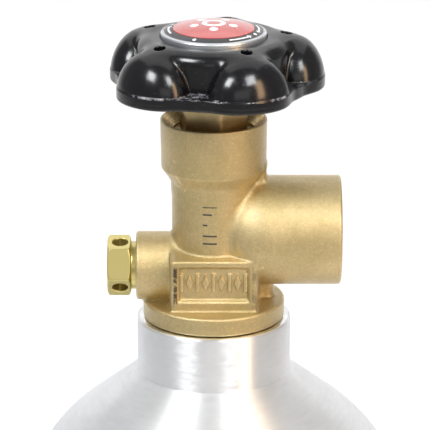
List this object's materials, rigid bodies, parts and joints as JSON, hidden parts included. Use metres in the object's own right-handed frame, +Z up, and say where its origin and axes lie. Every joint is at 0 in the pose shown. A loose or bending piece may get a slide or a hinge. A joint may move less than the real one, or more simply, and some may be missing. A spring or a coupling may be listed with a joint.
{
  "type": "gas cylinder with handwheel valve",
  "caption": "Aluminium high-pressure gas cylinder with a forged brass handwheel valve, threaded side outlet and vented pressure relief plug.",
  "frame": {"origin": "centre of the cylinder's base, on the surface it stands on", "axes": "+Z up along the cylinder and valve axis; the gas outlet points along +X, the pressure relief plug along -X, the forged pad faces -Y"},
  "size_m": [0.1334, 0.1334, 0.5294],
  "materials": {
    "cylinder_aluminium": "satin",
    "valve_brass": "bead-blasted",
    "machined_brass": "turned",
    "relief_brass": "turned",
    "wheel_plastic": "moulded gloss",
    "label_metal": "turned",
    "label_red": "gloss print",
    "steel": "plated",
    "copper_seal": "soft copper",
    "seal_rubber": "satin",
    "seal_plastic": "PTFE, waxy"
  },
  "bodies": {
    "root": {"cylinder_shell": "cylinder_aluminium", "neck_o_ring": "seal_rubber", "valve_body": "valve_brass", "bonnet_gasket": "copper_seal", "bonnet_nut": "machined_brass", "spring_washer": "steel", "relief_plug": "relief_brass", "burst_disc": "steel", "burst_gasket": "copper_seal"},
    "wheel": {"stem": "machined_brass", "stem_o_ring": "seal_rubber", "stem_backup_ring": "seal_plastic", "stem_thrust_washer": "seal_plastic", "wheel_spring": "steel", "handwheel": "wheel_plastic", "wheel_hub": "machined_brass", "wheel_washer": "steel", "wheel_nut": "steel", "label_plate": "label_metal", "label_badge": "label_red"},
    "plug": {"seat_plug": "machined_brass", "seat_insert": "seal_plastic"}
  },
  "joints": [
    {"name": "wheel_turn", "type": "hinge", "parent": "root", "child": "wheel", "pos_m": [0, 0, 0.508], "axis": [0, 0, 1], "range_deg": [0, 1170]},
    {"name": "plug_lift", "type": "slide", "parent": "wheel", "child": "plug", "axis": [0, 0, 1], "range_m": [0, 0.00413]}
  ],
  "couplings": [
    {"joint": "plug_lift", "follows": "wheel_turn", "m_per_rad": 0.00020213}
  ]
}
